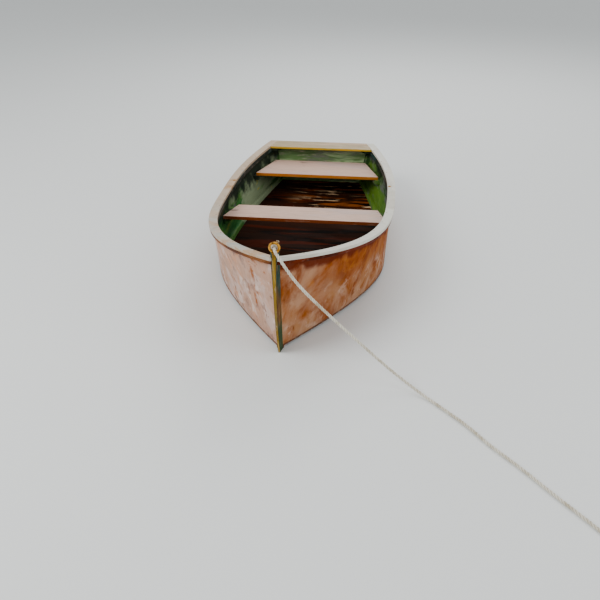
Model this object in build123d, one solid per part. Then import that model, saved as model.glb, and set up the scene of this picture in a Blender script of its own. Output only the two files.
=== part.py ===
from build123d import *
import math
import os

# Flat-bottomed wooden rowing skiff, in millimetres.
# +X points to the bow, +Y to port, +Z up.  X = 0 is the middle of the overall length
# and Z = 0 is the level that the keel, the skeg and the bilge runners rest on.

# ---------------------------------------------------------------- hull lines
LENGTH = 2840.0             # top edge of the transom to the front of the stem head
BEAM = 1242.0               # over the outer edges of the gunwale caps
BOTTOM_BEAM = 1136.0        # over the bottom planks
HEIGHT_AT_TRANSOM = 391.0   # top of the gunwale cap at the transom
HEIGHT_LOW = 369.0          # the same, at the station LOW_STATION
HEIGHT_AT_BOW = 653.0       # the same, at the stem
LOW_STATION = 0.4
TRANSOM_RAKE = 71.0         # how far the foot of the transom stands forward of its top
STEM_RAKE = 147.0           # how far the foot of the stem stands aft of its head
STEM_CURVE = 2.0            # 1 is a straight stem, more gives a fuller forefoot
ROCKER = 51.0               # rise of the bottom at the transom
ROCKER_END = 0.5            # station where the rise starts
ROCKER_CURVE = 2.5

# Half-breadths run from the transom to the widest station by a power of the distance,
# and from there to the stem by another power at the sheer and by a hyperbola at the chine.
TRANSOM_WIDTH_TOP = 812.0   # over the side boards
TRANSOM_WIDTH_BOTTOM = 704.0
SHEER_WIDEST = 0.375
SHEER_AFT_POWER = 2.3
SHEER_BOW_POWER = 3.0
CHINE_WIDEST = 0.54
CHINE_AFT_POWER = 2.0
CHINE_EASE = 0.65           # less makes the bow's bottom a straighter wedge
STEM_HALF_AT_SHEER = 25.0   # half-breadth where the planks meet the stem
STEM_HALF_AT_CHINE = 17.0

# ---------------------------------------------------------------- timber sizes
SIDE_THICK = 12.0
BOTTOM_THICK = 12.0
BOTTOM_PLANKS = 10
SEAM_SHARE = 0.5            # height of the seam between the two side boards
CAP_THICK = 18.0
CAP_WIDTH = 56.0
CAP_OVERHANG = 4.0
OUTWALE_WIDTH = 16.0
OUTWALE_HEIGHT = 20.0
INWALE_WIDTH = 24.0
INWALE_HEIGHT = 28.0
CHINE_LOG_WIDTH = 25.0
CHINE_LOG_HEIGHT = 32.0
KEEL_WIDTH = 40.0
KEEL_HEIGHT = 20.0
SKEG_THICK = 24.0
SKEG_STATION = 0.29
RUNNER_WIDTH = 26.0
RUNNER_OFFSET = 300.0
RUNNER_STATIONS = (0.5, 0.76)
STEM_DEPTH = 40.0
STEM_FRONT_WIDTH = 21.0      # across its front face at the head
STEM_FOOT_WIDTH = 11.0       # across its front face at the foot
STEM_HEAD_RISE = 35.0       # stem head above the gunwale cap
APRON_DEPTH = 60.0
BREASTHOOK_LENGTH = 75.0
BREASTHOOK_THICK = 25.0
TRANSOM_THICK = 20.0
TRANSOM_SEAM_SHARE = 0.5
TRANSOM_CAP_DEPTH = 126.0
TRANSOM_CLEAT_WIDTH = 25.0
KNEE_LEG = 95.0
KNEE_THICK = 25.0

REAR_THWART_FROM_AFT = 136.0
REAR_THWART_WIDTH = 325.0
REAR_THWART_GAPS = (50.0, 30.0)     # from its ends to the planking, at its aft and fore edge
FRONT_THWART_FROM_AFT = 1147.0
FRONT_THWART_WIDTH = 222.0
FRONT_THWART_GAPS = (75.0, 0.0)
THWART_TOP = 268.0
THWART_THICK = 24.0
SEAT_CLEAT_LAP = 24.0       # how far a thwart's end lies on its cleat
SEAT_CLEAT_HEIGHT = 34.0
SEAT_CLEAT_EXTRA = 12.0     # the cleat runs past each edge of its thwart

# ---------------------------------------------------------------- metal fittings
SCREW_HEAD_R = 4.5
SCREW_HEAD_HEIGHT = 3.0
SCREW_SHANK_R = 2.2
THWART_SCREW_LENGTH = 45.0
THWART_SCREW_INSET = 13.0   # from the end of the thwart
THWART_SCREW_EDGE = 35.0    # from the edge of the thwart
CAP_SCREW_LENGTH = 40.0
CAP_SCREWS = 12
CAP_SCREW_START = 0.6       # of one spacing, from the transom
CAP_SCREW_SPARE = 0.3       # of one spacing, left over at the stem
CAP_SCREW_PROUD = 0.3
SOCKET_FROM_AFT = 900.0
SOCKET_BORE_R = 6.5
SOCKET_WALL = 2.5
SOCKET_FLANGE_R = 12.0
SOCKET_FLANGE_THICK = 4.0
SOCKET_FLANGE_PROUD = 1.0   # above the gunwale cap
SOCKET_DEPTH = 44.0
EYE_RING_R = 25.0           # to the middle of the ring's wire
EYE_WIRE_R = 7.0
EYE_RING_SUNK = 4.0         # into the collar
EYE_COLLAR_R = 10.0
EYE_COLLAR_THICK = 3.0
EYE_SHANK_R = 5.0
EYE_SHANK_LENGTH = 70.0
EYE_FROM_FRONT = 20.0
DRAIN_BORE_R = 11.0
DRAIN_WALL = 3.0
DRAIN_FLANGE_R = 22.0
DRAIN_FLANGE_THICK = 3.0
DRAIN_HEIGHT = 34.0         # centre above the bottom planks
PLUG_CLEARANCE = 0.3
PLUG_SPIGOT_LENGTH = 22.0
PLUG_HEAD_R = 17.0
PLUG_HEAD_THICK = 6.0
PLUG_GRIP_WIDTH = 26.0
PLUG_GRIP_THICK = 8.0
PLUG_GRIP_HEIGHT = 12.0

# ---------------------------------------------------------------- painter rope
ROPE_R = 8.5
KNOT_R = 22.0
KNOT_LENGTH = 36.0
KNOT_ROUNDING = 9.0
END_EYE_R = 36.0            # to the middle of the rope in the end loop
SPLICE_LENGTH = 65.0
SPLICE_R = 11.0
ROPE_REST = ROPE_R          # height of the rope's middle where it lies
ROPE_POINTS = [
    (1392, 0, 710.4), (1424, 3, 710.4), (1448, 26, 690), (1452, 70, 618), (1455, 142, 520),
    (1460, 262, 400), (1468, 392, 280), (1483, 516, 172), (1518, 636, 84), (1573, 742, 32),
    (1646, 832, ROPE_REST), (1737, 916, ROPE_REST), (1868, 1030, ROPE_REST),
    (2013, 1126, ROPE_REST), (2160, 1252, ROPE_REST), (2318, 1366, ROPE_REST),
    (2460, 1478, ROPE_REST), (2596, 1580, ROPE_REST),
]

# ---------------------------------------------------------------- worked out
AFT = -LENGTH / 2
RABBET = LENGTH - STEM_DEPTH                    # transom top to the stem's aft face
PLANK_HALF = BEAM / 2 - OUTWALE_WIDTH - CAP_OVERHANG
CAP_OUT = OUTWALE_WIDTH + CAP_OVERHANG          # cap's outer edge outside the plank
CAP_IN = CAP_WIDTH - CAP_OUT                    # cap's inner edge inside the plank
WIDE = BEAM                                     # further out than any part
RAIL_COUNT = 21
LAST = 1.01                                     # rails run on a little past the stem
RAIL_T = [LAST * i / (RAIL_COUNT - 1) for i in range(RAIL_COUNT)]
BOTTOM_LEVEL = KEEL_HEIGHT                      # underside of the bottom planks

os.makedirs("parts", exist_ok=True)


# ================================================================ hull lines
def sheer_half(t):
    """Half-breadth over the side boards at their top edge."""
    if t < SHEER_WIDEST:
        share = ((SHEER_WIDEST - t) / SHEER_WIDEST) ** SHEER_AFT_POWER
        return PLANK_HALF - (PLANK_HALF - TRANSOM_WIDTH_TOP / 2) * share
    share = ((t - SHEER_WIDEST) / (1 - SHEER_WIDEST)) ** SHEER_BOW_POWER
    return PLANK_HALF - (PLANK_HALF - STEM_HALF_AT_SHEER) * share


def chine_half(t):
    """Half-breadth over the side boards at their bottom edge."""
    widest = BOTTOM_BEAM / 2
    if t < CHINE_WIDEST:
        share = ((CHINE_WIDEST - t) / CHINE_WIDEST) ** CHINE_AFT_POWER
        return widest - (widest - TRANSOM_WIDTH_BOTTOM / 2) * share
    u = (t - CHINE_WIDEST) / (1 - CHINE_WIDEST)
    share = (math.hypot(u, CHINE_EASE) - CHINE_EASE) / (math.hypot(1, CHINE_EASE) - CHINE_EASE)
    return widest - (widest - STEM_HALF_AT_CHINE) * share


def cap_height(t):
    """Top of the gunwale cap: a parabola through the three given heights."""
    low = HEIGHT_LOW - HEIGHT_AT_TRANSOM
    bow = HEIGHT_AT_BOW - HEIGHT_AT_TRANSOM
    square = (bow * LOW_STATION - low) / (LOW_STATION - LOW_STATION ** 2)
    return HEIGHT_AT_TRANSOM + square * t * t + (bow - square) * t


def sheer_x(t):
    return AFT + t * RABBET


def chine_x(t):
    return AFT + TRANSOM_RAKE + t * (RABBET - STEM_RAKE - TRANSOM_RAKE)


def sheer_z(t):
    return cap_height(t) - CAP_THICK


def chine_z(t):
    """Top of the bottom planks, on which the sides stand."""
    rise = ROCKER * max(0.0, 1.0 - t / ROCKER_END) ** ROCKER_CURVE
    return BOTTOM_LEVEL + BOTTOM_THICK + rise


def widening(half, t, run):
    """How much wider a board is across the boat than square to its own face."""
    step = 0.001
    return math.hypot(1, (half(t + step) - half(t)) / (step * run))


def sheer_point(t, out=0.0, up=0.0):
    """A point at the sheer, `out` from the outer face of the plank."""
    y = sheer_half(t) + out * widening(sheer_half, t, RABBET)
    return (sheer_x(t), y, sheer_z(t) + up)


def chine_point(t, out=0.0, up=0.0):
    y = chine_half(t) + out * widening(chine_half, t, RABBET - STEM_RAKE - TRANSOM_RAKE)
    return (chine_x(t), y, chine_z(t) + up)


def between(t, share, out=0.0):
    """A point on the ruling from the chine (share 0) to the sheer (share 1)."""
    low, high = chine_point(t, out), sheer_point(t, out)
    return tuple(a + (b - a) * share for a, b in zip(low, high))


def at_sheer(y, up=0.0):
    return lambda t: (sheer_x(t), y, sheer_z(t) + up)


def at_chine(y, up=0.0):
    return lambda t: (chine_x(t), y, chine_z(t) + up)


def at_station(x):
    """Station whose sheer lies at x."""
    return (x - AFT) / RABBET


# ================================================================ solid builders
def strip(*corners):
    """A solid along the boat; each corner is a function from station to point."""
    knots = [t / LAST for t in RAIL_T]
    rails = [Edge.make_spline([Vector(*corner(t)) for t in RAIL_T], parameters=knots)
             for corner in corners]
    sides = [Face.make_surface_from_curves(a, b) for a, b in zip(rails, rails[1:] + rails[:1])]
    ends = [Face(Wire.make_polygon([rail @ end for rail in rails], close=True)) for end in (0, 1)]
    return Solid(Shell(sides + ends))


def prism_xz(points, half_width=WIDE):
    """A prism across the boat from an outline in the X-Z plane."""
    face = Face(Wire.make_polygon([Vector(x, -half_width, z) for x, z in points], close=True))
    return Solid.extrude(face, Vector(0, 2 * half_width, 0))


def block(x0, x1, y0, y1, z0, z1):
    return Solid.make_box(x1 - x0, y1 - y0, z1 - z0, Plane(origin=(x0, y0, z0)))


def starboard_of(shape):
    return shape.mirror(Plane.XZ)


def rod(start, direction, radius, length):
    return Solid.make_cylinder(radius, length, Plane(origin=start, z_dir=direction))


def screw(head_top, direction, length):
    """A countersunk screw: its head's top centre and the way that it points."""
    way = Vector(*direction).normalized()
    head = rod(head_top, way, SCREW_HEAD_R, SCREW_HEAD_HEIGHT)
    shank = rod(Vector(*head_top), way, SCREW_SHANK_R, length)
    return (head + shank).solid()


def largest(shape):
    return max(shape.solids(), key=lambda solid: solid.volume)


NODES = {}


def add(name, shape):
    NODES[name] = shape


def less(shape, *tools):
    for tool in tools:
        shape = shape - tool
    return largest(shape)


# ================================================================ base volumes
# Everything inboard of the planks' inner faces, on the port side's line.
inside = strip(lambda t: chine_point(t, -SIDE_THICK), at_chine(-WIDE),
               at_sheer(-WIDE), lambda t: sheer_point(t, -SIDE_THICK))
# Everything inboard of the planks' outer faces.
within = strip(chine_point, at_chine(-WIDE), at_sheer(-WIDE), sheer_point)
# Everything inboard of the cap's inner edge, at the cap's own level.
inside_cap = strip(lambda t: sheer_point(t, -CAP_IN), at_sheer(-WIDE),
                   at_sheer(-WIDE, CAP_THICK), lambda t: sheer_point(t, -CAP_IN, CAP_THICK))


def lining(width):
    """A layer of this width on the inner face of the port planks."""
    deep = -SIDE_THICK - width
    layer = strip(lambda t: chine_point(t, 0.0), lambda t: chine_point(t, deep),
                  lambda t: sheer_point(t, deep), lambda t: sheer_point(t, 0.0))
    return layer & inside


def sheer_layer(thick):
    """All that lies within this depth below the planks' top edges."""
    return strip(at_sheer(WIDE), at_sheer(-WIDE), at_sheer(-WIDE, -thick), at_sheer(WIDE, -thick))


def bottom_layer(low, high):
    """A layer that follows the top of the bottom planks, from low to high."""
    return strip(at_chine(WIDE, low), at_chine(-WIDE, low),
                 at_chine(-WIDE, high), at_chine(WIDE, high))


def raked_x(z, station):
    """X of a station's ruling plane at a height: 0 is the transom, 1 the stem."""
    share = (z - chine_z(station)) / (sheer_z(station) - chine_z(station))
    return chine_x(station) + (sheer_x(station) - chine_x(station)) * share


TOO_HIGH = 2 * HEIGHT_AT_BOW
TOO_LOW = -HEIGHT_AT_BOW


def raked_prism(station, start, end):
    """The space between two planes parallel to the transom (0) or the stem (1)."""
    low, high = raked_x(TOO_LOW, station), raked_x(TOO_HIGH, station)
    return prism_xz([(low + start, TOO_LOW), (high + start, TOO_HIGH),
                     (high + end, TOO_HIGH), (low + end, TOO_LOW)])


ahead_of_planks = raked_prism(1.0, 0.0, LENGTH)
behind_transom_face = raked_prism(0.0, -LENGTH, TRANSOM_THICK)
chine_lining = lining(CHINE_LOG_WIDTH)


# ================================================================ planking
def side_boards():
    def board(low_share, high_share):
        whole = strip(lambda t: between(t, low_share), lambda t: between(t, low_share, -SIDE_THICK),
                      lambda t: between(t, high_share, -SIDE_THICK),
                      lambda t: between(t, high_share))
        return less(whole, ahead_of_planks)
    for name, low, high in (("lower", 0.0, SEAM_SHARE), ("upper", SEAM_SHARE, 1.0)):
        port = board(low, high)
        add(f"side_board_{name}_port", port)
        add(f"side_board_{name}_starboard", starboard_of(port))


def bottom_planks():
    slab = strip(chine_point, lambda t: (chine_x(t), -chine_point(t)[1], chine_z(t)),
                 lambda t: (chine_x(t), -chine_point(t)[1], chine_z(t) - BOTTOM_THICK),
                 lambda t: chine_point(t, 0.0, -BOTTOM_THICK))
    slab = less(slab, ahead_of_planks)
    start, end = slab.bounding_box().min.X, slab.bounding_box().max.X
    pitch = (end - start) / BOTTOM_PLANKS
    for i in range(BOTTOM_PLANKS):
        cut = block(start + i * pitch, start + (i + 1) * pitch, -WIDE, WIDE, TOO_LOW, TOO_HIGH)
        add(f"bottom_plank_{i + 1:02d}", largest(slab & cut))


def transom_boards():
    board = raked_prism(0.0, -STEM_DEPTH, TRANSOM_THICK) & inside & starboard_of(inside)
    low, high = chine_z(0.0), sheer_z(0.0)
    seam = low + (high - low) * TRANSOM_SEAM_SHARE
    below = block(-LENGTH, 0, -WIDE, WIDE, TOO_LOW, seam)
    add("transom_board_lower", largest(board & below))
    add("transom_board_upper", less(board, below))


# ================================================================ backbone
def backbone():
    keel = bottom_layer(-BOTTOM_THICK - KEEL_HEIGHT, -BOTTOM_THICK)
    keel = keel & block(-LENGTH, LENGTH, -KEEL_WIDTH / 2, KEEL_WIDTH / 2, TOO_LOW, TOO_HIGH)
    add("keel", less(keel, ahead_of_planks))

    under_keel = bottom_layer(TOO_LOW, -BOTTOM_THICK - KEEL_HEIGHT)
    skeg = block(-LENGTH, chine_x(SKEG_STATION), -SKEG_THICK / 2, SKEG_THICK / 2, 0, TOO_HIGH)
    add("skeg", largest(skeg & under_keel))

    under_planks = bottom_layer(TOO_LOW, -BOTTOM_THICK)
    start, end = (chine_x(t) for t in RUNNER_STATIONS)
    runner = block(start, end, RUNNER_OFFSET - RUNNER_WIDTH / 2,
                   RUNNER_OFFSET + RUNNER_WIDTH / 2, 0, TOO_HIGH)
    runner = largest(runner & under_planks)
    add("bilge_runner_port", runner)
    add("bilge_runner_starboard", starboard_of(runner))

    log = less(chine_lining & bottom_layer(0.0, CHINE_LOG_HEIGHT), behind_transom_face,
               raked_prism(1.0, -APRON_DEPTH, LENGTH))
    log = less(log, block(-LENGTH, LENGTH, -WIDE, 0, TOO_LOW, TOO_HIGH))
    add("chine_log_port", log)
    add("chine_log_starboard", starboard_of(log))


def stem():
    """Outer stem, with a curved front and an upright head that stands above the caps."""
    low, high = chine_z(1.0), sheer_z(1.0)
    levels = [high * i / 10 for i in range(11)]

    def aft_corner(z, side):
        share = (z - low) / (high - low)
        half = STEM_HALF_AT_CHINE + (STEM_HALF_AT_SHEER - STEM_HALF_AT_CHINE) * share
        return Vector(raked_x(z, 1.0), side * half, z)

    def front_corner(z, side):
        x = LENGTH / 2 - STEM_RAKE * (1.0 - z / high) ** STEM_CURVE
        width = STEM_FOOT_WIDTH + (STEM_FRONT_WIDTH - STEM_FOOT_WIDTH) * z / high
        return Vector(x, side * width / 2, z)

    corners = ((aft_corner, 1), (front_corner, 1), (front_corner, -1), (aft_corner, -1))
    rails = [Edge.make_spline([corner(z, side) for z in levels],
                              parameters=[z / high for z in levels])
             for corner, side in corners]
    sides = [Face.make_surface_from_curves(a, b) for a, b in zip(rails, rails[1:] + rails[:1])]
    ends = [Face(Wire.make_polygon([rail @ end for rail in rails], close=True)) for end in (0, 1)]
    outline = Face(Wire.make_polygon([corner(high, side) for corner, side in corners], close=True))
    head = Solid.extrude(outline, Vector(0, 0, HEIGHT_AT_BOW + STEM_HEAD_RISE - high))
    return (Solid(Shell(sides + ends)) + head).solid()


outer_stem = stem()


def bow_timbers():
    add("stem", outer_stem)
    both = inside & starboard_of(inside)
    top = sheer_layer(BREASTHOOK_THICK)
    apron = raked_prism(1.0, -APRON_DEPTH, 0.0) & both
    add("inner_stem", less(apron, top))
    hook = raked_prism(1.0, -APRON_DEPTH - BREASTHOOK_LENGTH, 0.0) & both & top
    add("breasthook", largest(hook))


# ================================================================ gunwale
def gunwale():
    port_half = block(-LENGTH, LENGTH, 0, WIDE, TOO_LOW, TOO_HIGH)
    cap = strip(lambda t: sheer_point(t, CAP_OUT), lambda t: sheer_point(t, -CAP_IN),
                lambda t: sheer_point(t, -CAP_IN, CAP_THICK),
                lambda t: sheer_point(t, CAP_OUT, CAP_THICK))
    cap = less(cap & port_half, outer_stem)
    outwale = strip(lambda t: sheer_point(t, -SIDE_THICK / 2),
                    lambda t: sheer_point(t, OUTWALE_WIDTH),
                    lambda t: sheer_point(t, OUTWALE_WIDTH, -OUTWALE_HEIGHT),
                    lambda t: sheer_point(t, -SIDE_THICK / 2, -OUTWALE_HEIGHT))
    outwale = less(outwale & port_half, within, outer_stem)
    inwale = lining(INWALE_WIDTH) & sheer_layer(INWALE_HEIGHT)
    inwale = less(inwale, behind_transom_face,
                  raked_prism(1.0, -APRON_DEPTH - BREASTHOOK_LENGTH, LENGTH))
    for name, port in (("gunwale_cap", cap), ("outwale", outwale), ("inwale", inwale)):
        add(f"{name}_port", port)
        add(f"{name}_starboard", starboard_of(port))


def transom_trim():
    top = inside_cap & starboard_of(inside_cap)
    add("transom_cap", largest(top & block(-LENGTH, AFT + TRANSOM_CAP_DEPTH, -WIDE, WIDE,
                                           TOO_LOW, TOO_HIGH)))
    face_x = raked_x(sheer_z(0.0), 0.0) + TRANSOM_THICK
    corner_y = sheer_point(0.0, -SIDE_THICK - INWALE_WIDTH)[1]
    outline = [(face_x - KNEE_LEG, corner_y + KNEE_LEG), (face_x + KNEE_LEG, corner_y + KNEE_LEG),
               (face_x + KNEE_LEG, corner_y), (face_x, corner_y - KNEE_LEG),
               (face_x - KNEE_LEG, corner_y - KNEE_LEG)]
    face = Face(Wire.make_polygon([Vector(x, y, TOO_LOW) for x, y in outline], close=True))
    knee = Solid.extrude(face, Vector(0, 0, TOO_HIGH - TOO_LOW)) & sheer_layer(KNEE_THICK) & inside
    knee = less(knee, behind_transom_face, NODES["inwale_port"])
    post = lining(TRANSOM_CLEAT_WIDTH)
    post = post & raked_prism(0.0, TRANSOM_THICK, TRANSOM_THICK + TRANSOM_CLEAT_WIDTH)
    post = less(post, NODES["chine_log_port"], NODES["inwale_port"], knee)
    for name, port in (("quarter_knee", knee), ("transom_cleat", post)):
        add(f"{name}_port", port)
        add(f"{name}_starboard", starboard_of(port))


# ================================================================ seats
def prism_xy(points, low, high):
    """An upright prism from an outline in the X-Y plane."""
    face = Face(Wire.make_polygon([Vector(x, y, low) for x, y in points], close=True))
    return Solid.extrude(face, Vector(0, 0, high - low))


def seats():
    """Thwarts whose ends are cut on the slant, on wedge-shaped cleats along the planking."""
    both = inside & starboard_of(inside)
    under = THWART_TOP - THWART_THICK
    screws = []
    for name, from_aft, width, gaps in (
            ("rear", REAR_THWART_FROM_AFT, REAR_THWART_WIDTH, REAR_THWART_GAPS),
            ("front", FRONT_THWART_FROM_AFT, FRONT_THWART_WIDTH, FRONT_THWART_GAPS)):
        x0 = AFT + from_aft
        x1 = x0 + width
        ends = []
        for x, gap in zip((x0, x1), gaps):
            probe = Edge.make_line(Vector(x, 0, THWART_TOP), Vector(x, WIDE, THWART_TOP))
            ends.append((probe & both).edge().bounding_box().max.Y - gap)

        def end_y(x):
            return ends[0] + (ends[1] - ends[0]) * (x - x0) / width

        outline = [(x0, -ends[0]), (x1, -ends[1]), (x1, ends[1]), (x0, ends[0])]
        thwart = largest(prism_xy(outline, under, THWART_TOP) & both)
        aft, fore = x0 - SEAT_CLEAT_EXTRA, x1 + SEAT_CLEAT_EXTRA
        outline = [(aft, end_y(aft) - SEAT_CLEAT_LAP), (fore, end_y(fore) - SEAT_CLEAT_LAP),
                   (fore, WIDE), (aft, WIDE)]
        cleat = largest(prism_xy(outline, under - SEAT_CLEAT_HEIGHT, under) & inside)
        pair = []
        for x in (x0 + THWART_SCREW_EDGE, (x0 + x1) / 2, x1 - THWART_SCREW_EDGE):
            for side in (1, -1):
                pair.append(screw((x, side * (end_y(x) - THWART_SCREW_INSET), THWART_TOP),
                                  (0, 0, -1), THWART_SCREW_LENGTH))
        add(f"{name}_thwart", less(thwart, *pair))
        add(f"{name}_seat_cleat_port", less(cleat, *pair))
        add(f"{name}_seat_cleat_starboard", less(starboard_of(cleat), *pair))
        screws += pair
    add("thwart_screws", Compound(screws))


# ================================================================ fittings
def gunwale_fittings():
    t = at_station(AFT + SOCKET_FROM_AFT)
    middle = -SIDE_THICK - INWALE_WIDTH / 2
    low = Vector(*chine_point(t, middle))
    top = Vector(*sheer_point(t, middle))
    lean = (top - low).normalized()
    mouth = top + lean * (CAP_THICK / lean.Z)
    body_r = SOCKET_BORE_R + SOCKET_WALL
    body = rod(mouth - lean * SOCKET_DEPTH, lean, body_r, SOCKET_DEPTH)
    flange = rod(mouth - lean * (SOCKET_FLANGE_THICK - SOCKET_FLANGE_PROUD), lean,
                 SOCKET_FLANGE_R, SOCKET_FLANGE_THICK)
    bore = rod(mouth - lean * 2 * SOCKET_DEPTH, lean, SOCKET_BORE_R, 3 * SOCKET_DEPTH)
    socket = less(body + flange, bore)
    drilled = rod(mouth - lean * 2 * SOCKET_DEPTH, lean, body_r, 2 * SOCKET_DEPTH)
    faced = rod(mouth - lean * (SOCKET_FLANGE_THICK - SOCKET_FLANGE_PROUD), lean,
                SOCKET_FLANGE_R, SOCKET_DEPTH)
    print("rowlock socket mouth", [round(v, 2) for v in mouth + lean * SOCKET_FLANGE_PROUD], "axis",
          [round(v, 5) for v in lean])

    screws = []
    for i in range(CAP_SCREWS):
        station = (i + CAP_SCREW_START) / (CAP_SCREWS + CAP_SCREW_SPARE)
        if abs(station - t) < 1 / (2 * CAP_SCREWS):
            continue
        x, y, z = sheer_point(station, -SIDE_THICK - INWALE_WIDTH / 2, CAP_THICK)
        screws.append(screw((x, y, z + CAP_SCREW_PROUD), (0, 0, -1), CAP_SCREW_LENGTH))
    for side, mirror in (("port", False), ("starboard", True)):
        own = [starboard_of(s) if mirror else s for s in screws + [drilled, faced]]
        for node in (f"gunwale_cap_{side}", f"inwale_{side}", "breasthook",
                     f"quarter_knee_{side}"):
            add(node, less(NODES[node], *own))
        add(f"rowlock_socket_{side}", starboard_of(socket) if mirror else socket)
    add("cap_screws", Compound(screws + [starboard_of(s) for s in screws]))


def eye_bolt():
    """Bronze eye on the stem head; its hole runs fore and aft."""
    x = LENGTH / 2 - EYE_FROM_FRONT
    top = HEIGHT_AT_BOW + STEM_HEAD_RISE
    centre_z = top + EYE_COLLAR_THICK + EYE_RING_R + EYE_WIRE_R - EYE_RING_SUNK
    ring = Solid.make_torus(EYE_RING_R, EYE_WIRE_R, Plane(origin=(x, 0, centre_z), z_dir=(1, 0, 0)))
    collar = rod((x, 0, top), (0, 0, 1), EYE_COLLAR_R, EYE_COLLAR_THICK)
    neck = rod((x, 0, top), (0, 0, 1), EYE_SHANK_R, EYE_COLLAR_THICK + EYE_WIRE_R)
    shank = rod((x, 0, top - EYE_SHANK_LENGTH), (0, 0, 1), EYE_SHANK_R, EYE_SHANK_LENGTH)
    add("eye_bolt", (ring + collar + neck + shank).solid())
    add("stem", less(NODES["stem"], shank))


def drain():
    """Drain socket through the transom, and the plug that pulls out of it."""
    z = chine_z(0.0) + DRAIN_HEIGHT
    low, high = Vector(raked_x(0, 0.0), 0, 0), Vector(raked_x(z, 0.0), 0, z)
    slope = (high - low).normalized()
    out = Vector(-slope.Z, 0, slope.X)
    body_r = DRAIN_BORE_R + DRAIN_WALL
    tube = rod(high - out * TRANSOM_THICK, out, body_r, TRANSOM_THICK)
    flange = rod(high, out, DRAIN_FLANGE_R, DRAIN_FLANGE_THICK)
    bore = rod(high - out * LENGTH / 4, out, DRAIN_BORE_R, LENGTH / 2)
    add("drain_socket", less(tube + flange, bore))
    add("transom_board_lower", less(NODES["transom_board_lower"],
                                    rod(high - out * 2 * TRANSOM_THICK, out, body_r,
                                        3 * TRANSOM_THICK)))
    face = high + out * (DRAIN_FLANGE_THICK + PLUG_CLEARANCE)
    spigot = rod(face - out * PLUG_SPIGOT_LENGTH, out, DRAIN_BORE_R - PLUG_CLEARANCE,
                 PLUG_SPIGOT_LENGTH)
    head = rod(face, out, PLUG_HEAD_R, PLUG_HEAD_THICK)
    grip_plane = Plane(origin=face + out * PLUG_HEAD_THICK, x_dir=(0, 1, 0), z_dir=out)
    corner = grip_plane.from_local_coords((-PLUG_GRIP_WIDTH / 2, -PLUG_GRIP_THICK / 2, 0))
    grip = Solid.make_box(PLUG_GRIP_WIDTH, PLUG_GRIP_THICK, PLUG_GRIP_HEIGHT,
                          Plane(origin=corner, x_dir=(0, 1, 0), z_dir=out))
    add("drain_plug", (spigot + head + grip).solid())
    print("drain plug pulls along", [round(v, 5) for v in out])


# ================================================================ painter rope
def painter():
    """Rope through the eye, with a stopper knot behind it and a spliced end loop."""
    points = [Vector(*p) for p in ROPE_POINTS]
    runs = [b - a for a, b in zip(points, points[1:])]
    radii = []
    for before, after in zip(runs, runs[1:]):
        turn = math.radians(before.get_angle(after))
        radii.append(0.45 * min(before.length, after.length) / math.tan(turn / 2))
    path = FilletPolyline(*points, radius=radii)
    section = Plane(origin=path @ 0, z_dir=path % 0) * Circle(ROPE_R)
    tube = sweep(section, path=path).solid()
    expected = math.pi * ROPE_R ** 2 * path.length
    print("painter: length", round(path.length), "radii", [round(r) for r in radii],
          "volume against section times length", round(tube.volume / expected, 4))
    add("painter_rope", tube)

    start = points[0]
    way = runs[0].normalized()
    knot = rod(start - way * KNOT_LENGTH, way, KNOT_R, KNOT_LENGTH)
    add("stopper_knot", fillet(knot.edges().filter_by(GeomType.CIRCLE), KNOT_ROUNDING).solid())

    end = points[-1]
    way = runs[-1].normalized()
    across = Vector(0, 0, 1)
    centre = end + way * (SPLICE_LENGTH + END_EYE_R)
    loop = Solid.make_torus(END_EYE_R, ROPE_R, Plane(origin=centre, z_dir=across))
    splice = Solid.make_cone(ROPE_R, SPLICE_R, SPLICE_LENGTH, Plane(
        origin=end, z_dir=way))
    below = block(-WIDE * 4, WIDE * 4, -WIDE * 4, WIDE * 4, TOO_LOW, 0)
    add("painter_end_loop", less(loop + splice, below))


side_boards()
bottom_planks()
transom_boards()
backbone()
bow_timbers()
gunwale()
transom_trim()
seats()
gunwale_fittings()
eye_bolt()
drain()
painter()

for node, shape in NODES.items():
    export_step(shape, f"parts/{node}.step")
hull_box = Compound([shape for node, shape in NODES.items()
                     if node not in ("painter_rope", "stopper_knot", "painter_end_loop")])
print("nodes", len(NODES), "hull box", hull_box.bounding_box())
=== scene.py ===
"""Looks of the wooden rowing skiff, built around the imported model.  Metres, row frame."""
import math
from collections import namedtuple

import bmesh
import bpy
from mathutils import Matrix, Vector
from mathutils.bvhtree import BVHTree


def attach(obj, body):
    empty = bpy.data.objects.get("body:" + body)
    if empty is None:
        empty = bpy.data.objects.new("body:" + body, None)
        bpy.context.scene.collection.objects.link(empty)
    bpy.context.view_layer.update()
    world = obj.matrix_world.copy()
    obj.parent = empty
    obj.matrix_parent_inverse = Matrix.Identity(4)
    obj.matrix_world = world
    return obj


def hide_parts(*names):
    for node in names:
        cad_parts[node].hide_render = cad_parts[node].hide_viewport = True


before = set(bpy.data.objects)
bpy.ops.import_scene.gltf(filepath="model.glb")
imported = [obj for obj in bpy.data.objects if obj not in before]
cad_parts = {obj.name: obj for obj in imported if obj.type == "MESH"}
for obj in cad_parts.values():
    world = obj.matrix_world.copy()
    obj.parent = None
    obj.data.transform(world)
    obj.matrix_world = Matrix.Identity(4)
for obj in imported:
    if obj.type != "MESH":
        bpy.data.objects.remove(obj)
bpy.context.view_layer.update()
HULL = "hull"
PORT, STARBOARD = 1, -1

# ------------------------------------------------------------------ view
CAMERA_PLACE = (5.303, 0.577, 2.539)
CAMERA_AZIMUTH = 96.47
CAMERA_ELEVATION = 28.37
LENS_MM = 50.16
SENSOR_MM = 36.0

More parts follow.
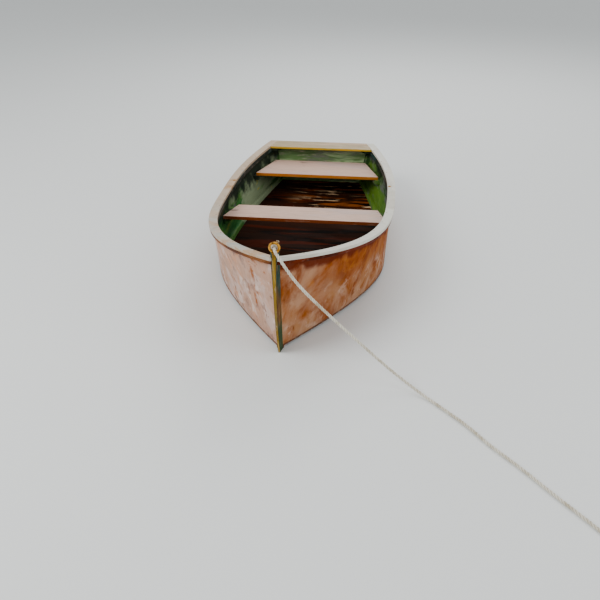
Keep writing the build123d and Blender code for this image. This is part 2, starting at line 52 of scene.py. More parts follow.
# ------------------------------------------------------------------ painter rope
ROPE_R = 0.0085
STRAND_PITCH = 0.062        # one full turn of the three strands
ROPE_POINTS = [
    (1.392, 0, 0.7104), (1.424, 0.003, 0.7104), (1.448, 0.026, 0.690), (1.452, 0.070, 0.618),
    (1.455, 0.142, 0.520), (1.460, 0.262, 0.400), (1.468, 0.392, 0.280), (1.483, 0.516, 0.172),
    (1.518, 0.636, 0.084), (1.573, 0.742, 0.032), (1.646, 0.832, ROPE_R), (1.737, 0.916, ROPE_R),
    (1.868, 1.030, ROPE_R), (2.013, 1.126, ROPE_R), (2.160, 1.252, ROPE_R),
    (2.318, 1.366, ROPE_R), (2.460, 1.478, ROPE_R), (2.596, 1.580, ROPE_R),
]
ROPE_STEP = 0.0025          # between two rings of a rope's skin
UP = Vector((0, 0, 1))


# ================================================================== shader helpers
def srgb(red, green, blue):
    """A colour given as on screen, 0 to 255, in the linear values that shaders use."""
    linear = []
    for value in (red, green, blue):
        share = value / 255
        linear.append(share / 12.92 if share <= 0.04045 else ((share + 0.055) / 1.055) ** 2.4)
    return (*linear, 1.0)


class Graph:
    """One material and the few node patterns that all of them are made of."""

    def __init__(self, name, metallic=0.0, shine=0.3):
        self.material = bpy.data.materials.new(name)
        self.material.use_nodes = True
        self.tree = self.material.node_tree
        self.tree.nodes.clear()
        self.shader = self.add("ShaderNodeBsdfPrincipled")
        self.shader.inputs["Metallic"].default_value = metallic
        self.shader.inputs["Specular IOR Level"].default_value = shine
        output = self.add("ShaderNodeOutputMaterial")
        self.tree.links.new(self.shader.outputs[0], output.inputs[0])
        self.place = self.add("ShaderNodeTexCoord").outputs["Object"]

    def add(self, kind, **settings):
        node = self.tree.nodes.new(kind)
        for key, value in settings.items():
            setattr(node, key, value)
        return node

    def feed(self, socket, value):
        if isinstance(value, bpy.types.NodeSocket):
            self.tree.links.new(value, socket)
        else:
            socket.default_value = value

    def stretch(self, scale, shift=(0, 0, 0)):
        node = self.add("ShaderNodeMapping")
        self.feed(node.inputs["Vector"], self.place)
        self.feed(node.inputs["Scale"], scale)
        self.feed(node.inputs["Location"], shift)
        return node.outputs[0]

    def noise(self, vector, scale, detail=3.0, rough=0.55, warp=0.0):
        node = self.add("ShaderNodeTexNoise")
        self.feed(node.inputs["Vector"], vector)
        self.feed(node.inputs["Scale"], scale)
        self.feed(node.inputs["Detail"], detail)
        self.feed(node.inputs["Roughness"], rough)
        self.feed(node.inputs["Distortion"], warp)
        return node.outputs["Fac"]

    def band(self, value, low, high, out_low=0.0, out_high=1.0):
        """A smooth step: out_low below low, out_high above high."""
        node = self.add("ShaderNodeMapRange", interpolation_type="SMOOTHSTEP")
        for socket, number in zip(node.inputs, (value, low, high, out_low, out_high)):
            self.feed(socket, number)
        return node.outputs[0]

    def maths(self, operation, first, second=0.0):
        node = self.add("ShaderNodeMath", operation=operation)
        self.feed(node.inputs[0], first)
        self.feed(node.inputs[1], second)
        return node.outputs[0]

    def mix(self, factor, first, second):
        node = self.add("ShaderNodeMix", data_type="RGBA")
        self.feed(node.inputs[0], factor)
        self.feed(node.inputs[6], first)
        self.feed(node.inputs[7], second)
        return node.outputs[2]

    def ramp_along(self, axis, start, full):
        """0 at start and 1 at full, along one of the boat's axes."""
        parts = self.add("ShaderNodeSeparateXYZ")
        self.feed(parts.inputs[0], self.place)
        if start < full:
            return self.band(parts.outputs[axis], start, full)
        return self.band(parts.outputs[axis], full, start, 1.0, 0.0)

    def attribute(self, name):
        return self.add("ShaderNodeAttribute", attribute_name=name).outputs["Fac"]

    def bump(self, height, strength, distance=0.001):
        node = self.add("ShaderNodeBump")
        self.feed(node.inputs["Strength"], strength)
        self.feed(node.inputs["Distance"], distance)
        self.feed(node.inputs["Height"], height)
        self.feed(self.shader.inputs["Normal"], node.outputs["Normal"])

    def finish(self, base, roughness):
        self.feed(self.shader.inputs["Base Color"], base)
        self.feed(self.shader.inputs["Roughness"], roughness)
        return self.material


ALONG = (0.22, 1.0, 1.0)     # grain along the boat
ACROSS = (1.0, 0.16, 1.0)    # grain across the boat
UPRIGHT = (1.0, 1.0, 0.22)   # grain up and down
CLOUDS = (1.0, 1.0, 0.8)     # patches with hardly any grain
FLAT = (0.3, 0.3, 1.0)       # grain along a curved level board
X, Y, Z = 0, 1, 2

# Noise scales of the marks that every painted board has.
BRUSH_LINES = 46.0
PALE_LINES = 62.0
WOOD_FIBRES = 160.0
CHIPS = 26.0
SHADE_EDGE = 9.0

CREAM = srgb(222, 204, 182)
BRUSH_BROWN = srgb(70, 40, 22)

# One coat of paint that shows in patches.  where: (axis, start, full), the places along an
# axis between which it comes in.
Coat = namedtuple("Coat", "paint scale threshold soft shift stretch where",
                  defaults=(CLOUDS, None))


def brushed_paint(name, ground, coats, grain=ALONG, roughness=0.5, bump=0.35, shade=None,
                  worn=None, lines=0.3, pale=CREAM, shine=0.3):
    """Hand-brushed paint on wood.

    shade: (colour, reach), painted shade: a darker colour under the board that covers this one.
    worn: (colour, amount) on the eased edges.  lines: strength of the brush lines.
    pale: colour of the light brush lines.
    """
    graph = Graph(name, shine=shine)
    base = ground
    for coat in coats:
        moved = (coat.shift, 1.7 * coat.shift, 0.6 * coat.shift)
        field = graph.noise(graph.stretch(coat.stretch, moved), coat.scale, 5.0, 0.6, 0.5)
        mask = graph.band(field, coat.threshold, coat.threshold + coat.soft)
        if coat.where:
            axis, start, full = coat.where
            mask = graph.maths("MULTIPLY", mask, graph.ramp_along(axis, start, full))
        base = graph.mix(mask, base, coat.paint)
    strokes = graph.noise(graph.stretch(grain), BRUSH_LINES, 5.0, 0.62)
    base = graph.mix(graph.band(strokes, 0.42, 0.85, 0.0, lines), base, BRUSH_BROWN)
    light_strokes = graph.noise(graph.stretch(grain, (3.1, 0.4, 1.9)), PALE_LINES, 4.0, 0.6)
    base = graph.mix(graph.band(light_strokes, 0.52, 0.74, 0.0, lines), base, pale)
    # Painted shade: the colour darkens towards the covering board and fades out with distance
    # below it.
    if shade:
        colour, reach = shade
        wander = graph.noise(graph.place, SHADE_EDGE, 3.0)
        distance = graph.maths("ADD", graph.attribute("below_top"),
                               graph.band(wander, 0.3, 0.7, -0.3 * reach, 0.3 * reach))
        base = graph.mix(graph.band(distance, 0.45 * reach, reach, 0.94, 0.0), base, colour)
    if worn:
        colour, amount = worn
        chips = graph.noise(graph.place, CHIPS, 4.0, 0.6)
        mask = graph.maths("MULTIPLY", graph.attribute("worn"),
                           graph.band(chips, 0.36, 0.56, 0.15 * amount, amount))
        base = graph.mix(mask, base, colour)
    fibres = graph.noise(graph.stretch(grain), WOOD_FIBRES, 4.0, 0.6)
    height = graph.maths("ADD", graph.maths("MULTIPLY", strokes, 0.8),
                         graph.maths("MULTIPLY", fibres, 0.4))
    graph.bump(height, bump, 0.0012)
    rough = graph.band(strokes, 0.2, 0.8, roughness - 0.12, roughness + 0.12)
    return graph.finish(base, rough)


# ================================================================== materials
def hull_paints():
    """Outside of the planking: pink to starboard, ochre and rust to port, each with a band of
    painted shade under its cap.
    """
    pink, lilac, blush = srgb(186, 146, 124), srgb(198, 170, 158), srgb(200, 148, 118)
    rim = srgb(214, 181, 151)
    starboard = brushed_paint(
        "hull_starboard", pink,
        [Coat(lilac, 6.0, 0.46, 0.14, 2.0),
         Coat(blush, 9.0, 0.52, 0.10, 5.3),
         Coat(srgb(150, 84, 34), 10.0, 0.585, 0.10, 7.7),
         Coat(srgb(146, 112, 98), 13.0, 0.56, 0.09, 3.1),
         Coat(srgb(214, 190, 178), 9.0, 0.57, 0.12, 11.2)],
        # The pair (158, 92, 46), 0.035 below is a thin band of painted shade under the starboard
        # cap.
        UPRIGHT, 0.6, 0.4, (srgb(158, 92, 46), 0.035), (rim, 0.8), 0.20, shine=0.12)
    rust, orange, shade_wine = srgb(116, 46, 2), srgb(140, 68, 6), srgb(92, 26, 0)
    faded, mauve = srgb(166, 112, 62), srgb(176, 132, 102)
    port = brushed_paint(
        "hull_port", orange,
        [Coat(rust, 5.0, 0.42, 0.24, 1.0),
         Coat(srgb(156, 86, 22), 7.0, 0.50, 0.18, 12.6),
         Coat(faded, 4.0, 0.42, 0.26, 3.3, CLOUDS, (Z, 0.46, 0.14)),
         Coat(mauve, 6.0, 0.39, 0.24, 8.1, CLOUDS, (Z, 0.38, 0.10)),
         Coat(mauve, 4.5, 0.36, 0.24, 4.7, CLOUDS, (X, 0.85, 1.25)),
         Coat(srgb(196, 160, 136), 9.0, 0.52, 0.20, 6.4, CLOUDS, (Z, 0.40, 0.18)),
         Coat(srgb(118, 58, 10), 12.0, 0.60, 0.16, 9.9)],
        # The dark wine-red pair below, reach 0.075, is painted shade under the port cap.
        UPRIGHT, 0.7, 0.35, (shade_wine, 0.075), (srgb(204, 166, 126), 0.9), 0.13, srgb(190, 128, 72),
        shine=0.04)
    bottom = brushed_paint("hull_bottom", srgb(96, 54, 24), [Coat(rust, 5.0, 0.5, 0.2, 1.5)],
                           ACROSS)
    return {"hull_starboard": starboard, "hull_port": port, "hull_bottom": bottom}


def inside_paints():
    """Inside of the planking and the transom: greens, with painted near-black shade under the
    caps.
    """
    shade_near_black = srgb(8, 20, 14)
    sage, slate, moss = srgb(150, 158, 122), srgb(92, 96, 88), srgb(84, 116, 34)
    starboard = brushed_paint(
        "inside_starboard", srgb(74, 116, 48),
        [Coat(srgb(30, 90, 36), 6.0, 0.48, 0.14, 1.2, ALONG),
         Coat(srgb(20, 66, 58), 5.0, 0.54, 0.12, 2.4, ALONG),
         Coat(slate, 8.0, 0.58, 0.08, 4.6, ALONG),
         Coat(srgb(124, 136, 104), 4.0, 0.45, 0.08, 9.4, ALONG, (X, -0.15, -0.45)),
         Coat(srgb(161, 152, 45), 14.0, 0.62, 0.05, 6.1, ALONG)],
        # The near-black pair below, reach 0.17, is painted shade under the starboard cap; it is
        # wide because this side lies in shadow.
        ALONG, 0.65, 0.4, (shade_near_black, 0.17), None, 0.2, sage, shine=0.1)
    port = brushed_paint(
        "inside_port", srgb(74, 108, 36),
        [Coat(moss, 8.0, 0.48, 0.10, 3.2, ALONG),
         Coat(slate, 6.0, 0.50, 0.08, 5.6, ALONG),
         Coat(srgb(34, 66, 24), 9.0, 0.55, 0.08, 8.4, ALONG),
         Coat(sage, 15.0, 0.63, 0.05, 2.1, ALONG)],
        # The near-black pair below, reach 0.11, is painted shade under the port cap.
        ALONG, 0.65, 0.4, (shade_near_black, 0.11), None, 0.2, sage, shine=0.1)
    # Near-black inwale: partly its own dark green paint, partly painted shade standing for the
    # shadow under the caps' inner edges.
    inwale_paint_and_shade = brushed_paint(
        "inwale", srgb(10, 20, 14),
        [Coat(srgb(14, 48, 44), 8.0, 0.55, 0.10, 2.2, ALONG)],
        ALONG, 0.5, 0.3, None, (srgb(90, 110, 60), 0.35), 0.12)
    transom = brushed_paint(
        "transom_inside", srgb(89, 119, 64),
        [Coat(srgb(60, 89, 39), 8.0, 0.50, 0.10, 0.7, ACROSS),
         Coat(srgb(104, 110, 90), 7.0, 0.54, 0.08, 3.3, ACROSS),
         Coat(srgb(164, 187, 134), 7.0, 0.50, 0.08, 6.2, ACROSS, (Z, 0.36, 0.30))],
        # The pair (46, 58, 24), 0.035 below is painted shade under the transom cap.
        ACROSS, 0.5, 0.35, (srgb(46, 58, 24), 0.035), (sage, 0.3))
    return {"inside_starboard": starboard, "inside_port": port, "inwale": inwale_paint_and_shade,
            "transom_inside": transom}


def top_paints():
    """Caps, thwarts and rub rails."""
    looks = {}
    ochre = srgb(172, 116, 50)
    looks["cap_port"] = brushed_paint(
        "cap_port", srgb(210, 207, 194),
        [Coat(srgb(196, 190, 176), 8.0, 0.52, 0.10, 2.6, FLAT),
         Coat(srgb(214, 196, 180), 9.0, 0.60, 0.10, 6.0, FLAT)],
        FLAT, 0.45, 0.35, None, (ochre, 0.35), 0.16)
    looks["cap_starboard"] = brushed_paint(
        "cap_starboard", srgb(184, 162, 138),
        [Coat(srgb(176, 172, 160), 8.0, 0.46, 0.12, 2.6, FLAT, (X, -0.2, 0.5)),
         Coat(srgb(176, 140, 102), 9.0, 0.56, 0.10, 6.0, FLAT),
         Coat(srgb(150, 152, 146), 12.0, 0.60, 0.08, 8.4, FLAT)],
        FLAT, 0.5, 0.4, None, (ochre, 0.95), 0.24)
    looks["transom_cap"] = brushed_paint(
        "transom_cap", srgb(168, 150, 116),
        [Coat(srgb(184, 156, 126), 7.0, 0.52, 0.10, 4.4, ACROSS),
         Coat(srgb(155, 127, 84), 12.0, 0.60, 0.06, 1.9, ACROSS)],
        ACROSS, 0.48, 0.4, None, (srgb(196, 171, 137), 0.6), 0.34)
    looks["thwart"] = brushed_paint(
        "thwart", srgb(199, 165, 146),
        [Coat(srgb(190, 163, 151), 8.0, 0.50, 0.12, 4.4, ACROSS),
         Coat(srgb(209, 177, 160), 9.0, 0.56, 0.10, 1.9, ACROSS),
         Coat(srgb(201, 137, 88), 9.0, 0.66, 0.08, 8.8, ACROSS),
         Coat(srgb(145, 119, 104), 18.0, 0.66, 0.05, 5.1, ACROSS)],
        ACROSS, 0.48, 0.4, None, (srgb(225, 194, 169), 0.9), 0.26)
    edges = {"rear": (srgb(176, 100, 22), srgb(206, 140, 50)),
             "front": (srgb(116, 50, 10), srgb(178, 122, 70))}
    for name, (ground, light) in edges.items():
        looks[f"thwart_edge_{name}"] = brushed_paint(
            f"thwart_edge_{name}", ground, [Coat(light, 12.0, 0.60, 0.08, 5.0, ACROSS)],
            ACROSS, 0.5, 0.3, None, (srgb(222, 196, 160), 0.5), 0.14)
    looks["transom_cap_edge"] = brushed_paint(
        "transom_cap_edge", srgb(196, 146, 14),
        [Coat(srgb(150, 134, 22), 9.0, 0.50, 0.10, 3.0, ACROSS)],
        ACROSS, 0.5, 0.3, None, None, 0.12)
    looks["rub_starboard"] = brushed_paint(
        "rub_starboard", srgb(120, 66, 12), [Coat(srgb(80, 36, 6), 9.0, 0.5, 0.12, 1.4, FLAT)],
        FLAT, lines=0.1, shine=0.1)
    # The port rub rail is a darker copy of the starboard one: its dark red-brown is painted shade
    # under the overhanging port cap.
    looks["rub_port"] = brushed_paint(
        "rub_port", srgb(98, 32, 2), [Coat(srgb(66, 18, 2), 8.0, 0.5, 0.14, 4.1, FLAT)],
        FLAT, lines=0.06, shine=0.04)
    return looks


def stem_paints():
    """Ochre front with dark red-brown edges, and dark green flanks."""
    line = srgb(66, 24, 8)
    front = brushed_paint(
        "stem_front", srgb(136, 106, 23),
        [Coat(srgb(92, 65, 5), 10.0, 0.52, 0.10, 2.1, UPRIGHT, (Z, 0.35, 0.62)),
         Coat(srgb(169, 138, 70), 12.0, 0.50, 0.08, 5.5, UPRIGHT),
         Coat(srgb(126, 106, 57), 9.0, 0.52, 0.10, 7.5, UPRIGHT, (Z, 0.5, 0.2))],
        UPRIGHT, 0.55, 0.4, None, (line, 0.9), 0.24, shine=0.1)
    flank = brushed_paint(
        "stem_flank", srgb(104, 62, 10),
        [Coat(srgb(12, 54, 44), 6.0, 0.42, 0.08, 3.7, UPRIGHT, (Z, 0.30, 0.50)),
         Coat(srgb(28, 60, 30), 7.0, 0.42, 0.08, 6.6, UPRIGHT, (Z, 0.34, 0.16)),
         Coat(line, 12.0, 0.56, 0.08, 1.6, UPRIGHT)],
        UPRIGHT, 0.55, 0.4, None, (line, 0.9), 0.12, shine=0.1)
    return {"stem_front": front, "stem_flank": flank}


def make_materials():
    looks = {"floor": wet_floor(), "rope": rope_fibre(), "twine": twine_fibre(),
             "bronze": bronze("bronze", srgb(206, 146, 48), srgb(96, 62, 18)),
             "screw": bronze("screw", srgb(150, 112, 70), srgb(70, 48, 30))}
    for group in (hull_paints(), inside_paints(), top_paints(), stem_paints()):
        looks.update(group)
    return looks


def wet_floor():
    """Dark, tar-stained boards, with orange-brown streaks and painted cream glints of wet on the
    port side aft.
    """
    graph = Graph("floor", shine=0.02)
    across = (1.0, 0.13, 1.0)
    base = srgb(40, 19, 9)
    streaks = [Coat(srgb(14, 9, 7), 8.0, 0.46, 0.12, 4.0),
               Coat(srgb(66, 22, 6), 10.0, 0.54, 0.10, 1.0),
               Coat(srgb(134, 66, 12), 15.0, 0.50, 0.09, 7.0, across, (Y, -0.35, 0.2)),
               # Cream streaks: painted glints, standing for reflections on the wet boards.
               Coat(srgb(222, 184, 140), 22.0, 0.58, 0.04, 9.5, across, (Y, -0.3, 0.2))]
    aft = graph.ramp_along(X, -0.62, -0.85)
    for coat in streaks:
        field = graph.noise(graph.stretch(across, (coat.shift,) * 3), coat.scale, 5.0, 0.6, 0.6)
        mask = graph.band(field, coat.threshold, coat.threshold + coat.soft)
        if coat.where:
            mask = graph.maths("MULTIPLY", mask, graph.ramp_along(*coat.where))
            mask = graph.maths("MULTIPLY", mask, aft)
        base = graph.mix(mask, base, coat.paint)
    strokes = graph.noise(graph.stretch(across), 60.0, 5.0, 0.6)
    puddles = graph.noise(graph.stretch((1.0, 0.5, 1.0)), 5.0, 3.0)
    graph.bump(strokes, 0.4, 0.0015)
    return graph.finish(base, graph.band(puddles, 0.42, 0.60, 0.55, 0.75))


def bronze(name, bright, patina):
    """Cast bronze with a stained, pitted face."""
    graph = Graph(name, metallic=0.9, shine=0.5)
    stain = graph.noise(graph.place, 60.0, 5.0, 0.6)
    base = graph.mix(graph.band(stain, 0.42, 0.66), bright, patina)
    pits = graph.noise(graph.place, 420.0, 3.0)
    graph.bump(pits, 0.25, 0.0004)
    return graph.finish(base, graph.band(stain, 0.4, 0.7, 0.28, 0.6))


def rope_fibre():
    """Pale, hairy fibre, dirty here and there, with painted shade between the strands."""
    graph = Graph("rope")
    dirt = graph.noise(graph.place, 14.0, 4.0, 0.6)
    hair = graph.noise(graph.place, 900.0, 4.0, 0.7)
    base = graph.mix(graph.band(dirt, 0.40, 0.75), srgb(222, 216, 200), srgb(176, 164, 138))
    base = graph.mix(graph.band(hair, 0.45, 0.75, 0.0, 0.45), base, srgb(146, 132, 104))
    # Painted shade in the grooves between the strands.
    groove_shade = graph.attribute("groove_shade")
    base = graph.mix(graph.band(groove_shade, 0.35, 1.0, 0.0, 0.75), base, srgb(112, 98, 74))
    graph.bump(hair, 0.5, 0.0006)
    graph.shader.inputs["Sheen Weight"].default_value = 0.3
    return graph.finish(base, 0.85)


def twine_fibre():
    graph = Graph("twine")
    hair = graph.noise(graph.place, 1200.0, 3.0)
    base = graph.mix(graph.band(hair, 0.4, 0.7), srgb(104, 78, 48), srgb(150, 120, 82))
    graph.bump(hair, 0.4, 0.0004)
    return graph.finish(base, 0.8)


# ================================================================== mesh helpers
def new_object(name, mesh):
    thing = bpy.data.objects.new(name, mesh)
    bpy.context.scene.collection.objects.link(thing)
    return thing


def smooth(mesh, degrees=32.0):
    mesh.shade_smooth()
    mesh.set_sharp_from_angle(angle=math.radians(degrees))


def standing_for(piece, node, body=HULL):
    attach(piece, body)
    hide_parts(node)


def eased_board(node, edge, materials, choose=None, segments=2, wears=None):
    """A copy of a CAD board with eased edges.

    choose(normal) picks a face's material; wears(normal) says which eased faces are worn.
    """
    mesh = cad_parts[node].data.copy()
    mesh.materials.clear()
    for material in materials:
        mesh.materials.append(material)
    shape = bmesh.new()
    shape.from_mesh(mesh)
    worn = shape.faces.layers.float.new("worn")
    bmesh.ops.remove_doubles(shape, verts=shape.verts, dist=1e-5)
    bmesh.ops.dissolve_limit(shape, angle_limit=math.radians(0.3), verts=shape.verts,
                             edges=shape.edges)
    shape.normal_update()
    corners = [e for e in shape.edges
               if len(e.link_faces) == 2 and e.calc_face_angle(0) > math.radians(38)]
    made = bmesh.ops.bevel(shape, geom=corners, offset=edge, segments=segments, profile=0.6,
                           affect="EDGES", clamp_overlap=True)
    shape.normal_update()
    for face in made["faces"]:
        face[worn] = 1.0 if wears is None or wears(face.normal) else 0.0
    bmesh.ops.triangulate(shape, faces=[f for f in shape.faces if len(f.verts) > 4])
    shape.normal_update()
    for face in shape.faces:
        face.material_index = choose(face.normal) if choose else 0
    shape.to_mesh(mesh)
    shape.free()
    smooth(mesh)
    piece = new_object(node + "_finished", mesh)
    standing_for(piece, node)
    return piece


def distance_below(piece, covering):
    """Store how far each vertex lies from a covering node, for the painted shade under it."""
    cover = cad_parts[covering].data
    tree = BVHTree.FromPolygons([v.co for v in cover.vertices],
                                [tuple(p.vertices) for p in cover.polygons])
    mesh = piece.data
    values = [tree.find_nearest(vertex.co)[3] for vertex in mesh.vertices]
    layer = mesh.attributes.new("below_top", "FLOAT", "POINT")
    layer.data.foreach_set("value", values)


# ================================================================== painter rope
def spline_points(points):
    """Points along the smooth line of a NURBS spline with these control points."""
    curve = bpy.data.curves.new("route", "CURVE")
    curve.dimensions = "3D"
    spline = curve.splines.new("NURBS")
    spline.points.add(len(points) - 1)
    for knot, point in zip(spline.points, points):
        knot.co = (*point, 1.0)
    spline.order_u = 3
    spline.use_endpoint_u = True
    spline.resolution_u = 24
    thing = bpy.data.objects.new("route", curve)
    line = bpy.data.meshes.new_from_object(thing)
    route = [vertex.co.copy() for vertex in line.vertices]
    bpy.data.objects.remove(thing)
    bpy.data.meshes.remove(line)
    return route


def even(points, step):
    """The same line with evenly spaced points."""
    spaced = [points[0].copy()]
    need = step
    for a, b in zip(points, points[1:]):
        length = (b - a).length
        while length >= need and length > 0:
            a = a.lerp(b, need / length)
            spaced.append(a.copy())
            length = (b - a).length
            need = step
        need -= length
    if (points[-1] - spaced[-1]).length > 0.3 * step:
        spaced.append(points[-1].copy())
    return spaced


def closed_skin(name, shape, rings):
    """An object whose skin joins the rings of vertices and closes both ends."""
    count = len(rings[0])
    for a, b in zip(rings, rings[1:]):
        for k in range(count):
            after = (k + 1) % count
            shape.faces.new((a[k], a[after], b[after], b[k]))
    shape.faces.new(reversed(rings[0]))
    shape.faces.new(rings[-1])
    bmesh.ops.recalc_face_normals(shape, faces=shape.faces)
    mesh = bpy.data.meshes.new(name)
    shape.to_mesh(mesh)
    shape.free()
    mesh.shade_smooth()
    return new_object(name, mesh)


def laid_rope(name, points, radius, pitch=STRAND_PITCH, ring=27, radius_at=None):
    """Three strands laid round each other along the points, as one closed skin.

    radius_at(share) gives the radius at that share of the way along, where it isn't constant.
    """
    strand_r = radius * 0.50
    offset = radius - strand_r
    shape = bmesh.new()
    groove_shade = shape.verts.layers.float.new("groove_shade")
    tangent = (points[1] - points[0]).normalized()
    side = tangent.orthogonal().normalized()
    rings = []
    travelled = 0.0
    for i, point in enumerate(points):
        ahead = points[min(i + 1, len(points) - 1)] - points[max(i - 1, 0)]
        new_tangent = ahead.normalized()
        side = (tangent.rotation_difference(new_tangent) @ side)
        side = (side - new_tangent * side.dot(new_tangent)).normalized()
        tangent = new_tangent
        other = tangent.cross(side)
        if i:
            travelled += (point - points[i - 1]).length
        grow = radius_at(i / (len(points) - 1)) / radius if radius_at else 1.0
        verts = []
        for k in range(ring):
            angle = 2 * math.pi * k / ring
            lobe = (angle + math.pi / 3) % (2 * math.pi / 3) - math.pi / 3
            inside = max(strand_r ** 2 - (offset * math.sin(lobe)) ** 2, 0.0)
            reach = offset * math.cos(lobe) + math.sqrt(inside)
            turned = angle + 2 * math.pi * travelled / pitch
            spot = point + (side * math.cos(turned) + other * math.sin(turned)) * reach * grow
            vert = shape.verts.new(spot)
            # How deep the vertex lies between the strands, for the painted shade there.
            vert[groove_shade] = 1.0 - (reach / radius - 0.5) / 0.5
            verts.append(vert)
        rings.append(verts)
    return closed_skin(name, shape, rings)


def whipping(name, centre, direction, radius, turns):
    """Turns of twine bound tightly round a rope, as one lathed skin."""
    thread, rows_a_turn, ring = 0.0011, 6, 32
    direction = direction.normalized()
    side = direction.orthogonal().normalized()
    other = direction.cross(side)
    shape = bmesh.new()
    rings = []
    rows = turns * rows_a_turn
    for row in range(rows + 1):
        along = (row / rows - 0.5) * turns * 2 * thread
        swell = abs(math.sin(math.pi * turns * row / rows))
        reach = radius + thread * swell
        verts = []
        for k in range(ring):
            angle = 2 * math.pi * k / ring
            ray = side * math.cos(angle) + other * math.sin(angle)
            verts.append(shape.verts.new(centre + direction * along + ray * reach))
        rings.append(verts)
    return closed_skin(name, shape, rings)


def straight(start, way, count):
    """That many points on a straight line, a rope step apart."""
    return [start + way * (ROPE_STEP * i) for i in range(count)]


def stopper_knot(start, looks):
    """Turns round the standing part behind the eye bolt, and a whipped tail."""
    coil_r, turns, coil_length, steps = 0.0130, 1.75, 0.019, 120
    tail_end = start + Vector((-0.052, 0.012, 0.020))
    aft = Vector((-1, 0, 0))
    coil = []
    for i in range(steps):
        share = i / (steps - 1)
        angle = 2 * math.pi * turns * share
        along = ROPE_R + coil_length * share
        coil.append(start + aft * along + Vector((0, coil_r * math.cos(angle),
                                                  coil_r * math.sin(angle))))
    coil_end, tail_steps = coil[-1], 8
    tail = [coil_end.lerp(tail_end, i / tail_steps) for i in range(1, tail_steps + 1)]
    knot = laid_rope("stopper_knot_turns", even(coil + tail, 0.002), ROPE_R)
    core = laid_rope("stopper_knot_core", straight(start, aft, 13), ROPE_R)
    for piece in (knot, core):
        piece.data.materials.append(looks["rope"])
    standing_for(knot, "stopper_knot")
    tail_way = (tail_end - coil_end).normalized()
    bound = whipping("stopper_knot_whipping", tail_end - tail_way * 0.007, tail_way,
                     ROPE_R * 0.95, 5)
    bound.data.materials.append(looks["twine"])
    for piece in (core, bound):
        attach(piece, HULL)
    return [knot, core, bound]


def end_loop(end, looks):
    """Eye spliced into the free end: the splice, the loop, two tucked strands and a whipping."""
    splice_length, eye_r = 0.065, 0.036
    mouth_half_angle, spread, loop_steps = 14, 332, 96
    way = (Vector(ROPE_POINTS[-1]) - Vector(ROPE_POINTS[-2])).normalized()
    across = UP.cross(way)
    splice = laid_rope("painter_splice", straight(end, way, 27), ROPE_R)
    throat = end + way * splice_length
    middle = throat + way * eye_r
    loop = [throat - way * 0.02 + across * 0.004, throat - way * 0.008 + across * 0.006]
    for i in range(loop_steps + 1):
        angle = math.radians(180 - mouth_half_angle - spread * i / loop_steps)
        loop.append(middle + way * (eye_r * math.cos(angle)) + across * (eye_r * math.sin(angle)))
    loop += [throat - way * 0.008 - across * 0.006, throat - way * 0.02 - across * 0.004]
    ring = laid_rope("painter_end_loop_strands", even(loop, ROPE_STEP), ROPE_R)
    tucks = []
    for side, letter in ((1, "a"), (-1, "b")):
        strand = straight(throat + across * side * 0.0062, -way, 20)
        tucks.append(laid_rope(f"painter_splice_tuck_{letter}", strand, ROPE_R * 0.62, 0.05, 18,
                               lambda share: ROPE_R * (0.62 - 0.3 * share)))
    bound = whipping("painter_splice_whipping", end + way * 0.012, way, ROPE_R, 7)
    for piece in (splice, ring, *tucks):
        piece.data.materials.append(looks["rope"])
    bound.data.materials.append(looks["twine"])
    standing_for(ring, "painter_end_loop")
    for piece in (splice, *tucks, bound):
        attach(piece, HULL)
    return [splice, ring, *tucks, bound]


def painter(looks):
    """The rope from the eye bolt to its end loop, laid as one skin, with its stopper knot and end
    loop.
    """
    points = even(spline_points(ROPE_POINTS), ROPE_STEP)
    rope = laid_rope("painter_strands", points, ROPE_R)
    rope.data.materials.append(looks["rope"])
    standing_for(rope, "painter_rope")
    pieces_on_rope = stopper_knot(points[0], looks) + end_loop(points[-1], looks)


# ================================================================== boards
def underneath(normal):
    return normal.z < -0.1


def nowhere(normal):
    return False


def hull_sides(looks):
    for side, name in ((PORT, "port"), (STARBOARD, "starboard")):
        pair = [looks[f"hull_{name}"], looks[f"inside_{name}"]]
        for level in ("upper", "lower"):
            piece = eased_board(f"side_board_{level}_{name}", 0.0012, pair,
                                lambda normal: 0 if normal.y * side > 0 else 1,
                                wears=underneath if level == "lower" else nowhere)
            distance_below(piece, f"gunwale_cap_{name}")
        eased_board(f"gunwale_cap_{name}", 0.0045, [looks[f"cap_{name}"]], segments=3)
        eased_board(f"outwale_{name}", 0.004, [looks[f"rub_{name}"]])
        eased_board(f"inwale_{name}", 0.003, [looks["inwale"]])
        for node in (f"chine_log_{name}", f"transom_cleat_{name}", f"quarter_knee_{name}",
                     f"front_seat_cleat_{name}", f"rear_seat_cleat_{name}"):
            piece = eased_board(node, 0.002, [looks[f"inside_{name}"]])
            distance_below(piece, f"gunwale_cap_{name}")
        eased_board(f"bilge_runner_{name}", 0.003, [looks["hull_bottom"]])


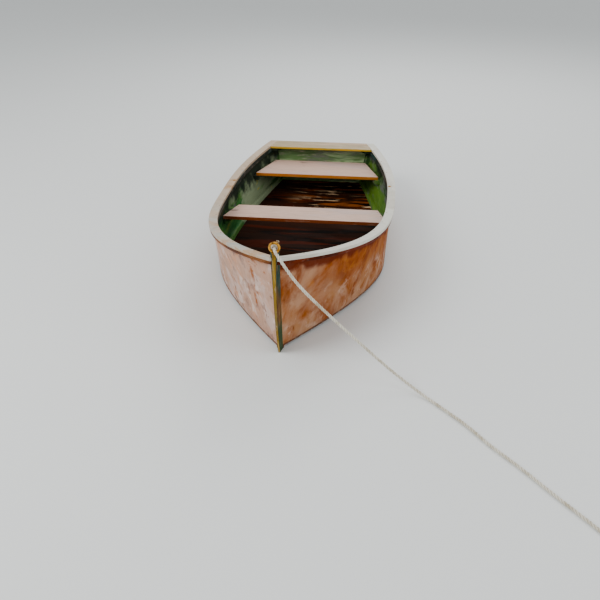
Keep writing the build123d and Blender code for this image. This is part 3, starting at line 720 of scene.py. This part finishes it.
def middle_boards(looks):
    for node in sorted(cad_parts):
        if node.startswith("bottom_plank"):
            eased_board(node, 0.0018, [looks["floor"], looks["hull_bottom"]],
                        lambda normal: 0 if normal.z > 0.3 else 1)
    for node in ("transom_board_lower", "transom_board_upper"):
        piece = eased_board(node, 0.0015, [looks["transom_inside"], looks["hull_port"]],
                            lambda normal: 0 if normal.x > -0.5 else 1,
                            wears=nowhere)
        distance_below(piece, "transom_cap")
    for name in ("front", "rear"):
        eased_board(f"{name}_thwart", 0.003, [looks["thwart"], looks[f"thwart_edge_{name}"]],
                    lambda normal: 0 if normal.z > 0.6 or abs(normal.y) > 0.6 else 1, 3)
    eased_board("transom_cap", 0.003, [looks["transom_cap"], looks["transom_cap_edge"]],
                lambda normal: 0 if normal.z > 0.6 or normal.x < -0.5 else 1, 3)
    eased_board("stem", 0.002, [looks["stem_front"], looks["stem_flank"]],
                lambda normal: 1 if abs(normal.y) > 0.6 else 0, 2)
    for node in ("keel", "skeg"):
        eased_board(node, 0.003, [looks["hull_bottom"]])
    for node in ("inner_stem", "breasthook"):
        piece = eased_board(node, 0.002, [looks["inside_port"]])
        distance_below(piece, "gunwale_cap_port")


def dress(node, material):
    """Give a CAD node, shown as it is, its material."""
    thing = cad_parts[node]
    if not thing.material_slots:
        thing.data.materials.append(material)
    for place in thing.material_slots:
        place.material = material


def metal(looks):
    for node in ("eye_bolt", "rowlock_socket_port", "rowlock_socket_starboard", "drain_socket",
                 "drain_plug"):
        dress(node, looks["bronze"])
    for node in ("thwart_screws", "cap_screws"):
        dress(node, looks["screw"])


# ================================================================== studio
def studio():
    world = bpy.data.worlds.new("studio")
    bpy.context.scene.world = world
    world.use_nodes = True
    background = world.node_tree.nodes["Background"]
    background.inputs["Color"].default_value = (0.90, 0.93, 0.95, 1.0)
    background.inputs["Strength"].default_value = 0.75

    mesh = bpy.data.meshes.new("studio_floor")
    reach = 150.0
    corners = [(-reach, -reach, 0), (reach, -reach, 0), (reach, reach, 0), (-reach, reach, 0)]
    mesh.from_pydata(corners, [], [(0, 1, 2, 3)])
    ground = new_object("studio_floor", mesh)
    paint = Graph("studio_floor")
    mesh.materials.append(paint.finish(srgb(226, 228, 226), 0.8))

    for name, place, power, size in (("key", (4.0, -4.5, 5.5), 420, 4.0),
                                     ("fill", (3.0, 5.0, 3.5), 120, 4.0),
                                     ("back", (-5.0, 1.0, 5.0), 200, 4.0)):
        lamp = bpy.data.lights.new(name, "AREA")
        lamp.energy = power
        lamp.size = size
        thing = bpy.data.objects.new(name, lamp)
        bpy.context.scene.collection.objects.link(thing)
        thing.location = place
        aim = Vector((0, 0, 0.2)) - thing.location
        thing.rotation_euler = aim.to_track_quat("-Z", "Y").to_euler()


def camera():
    data = bpy.data.cameras.new("camera")
    data.lens = LENS_MM
    data.sensor_width = SENSOR_MM
    thing = bpy.data.objects.new("camera", data)
    bpy.context.scene.collection.objects.link(thing)
    thing.location = CAMERA_PLACE
    thing.rotation_euler = (math.radians(90 - CAMERA_ELEVATION), 0, math.radians(CAMERA_AZIMUTH))
    bpy.context.scene.camera = thing


camera()
looks = make_materials()
painter(looks)
hull_sides(looks)
middle_boards(looks)
metal(looks)
studio()

bpy.context.view_layer.update()
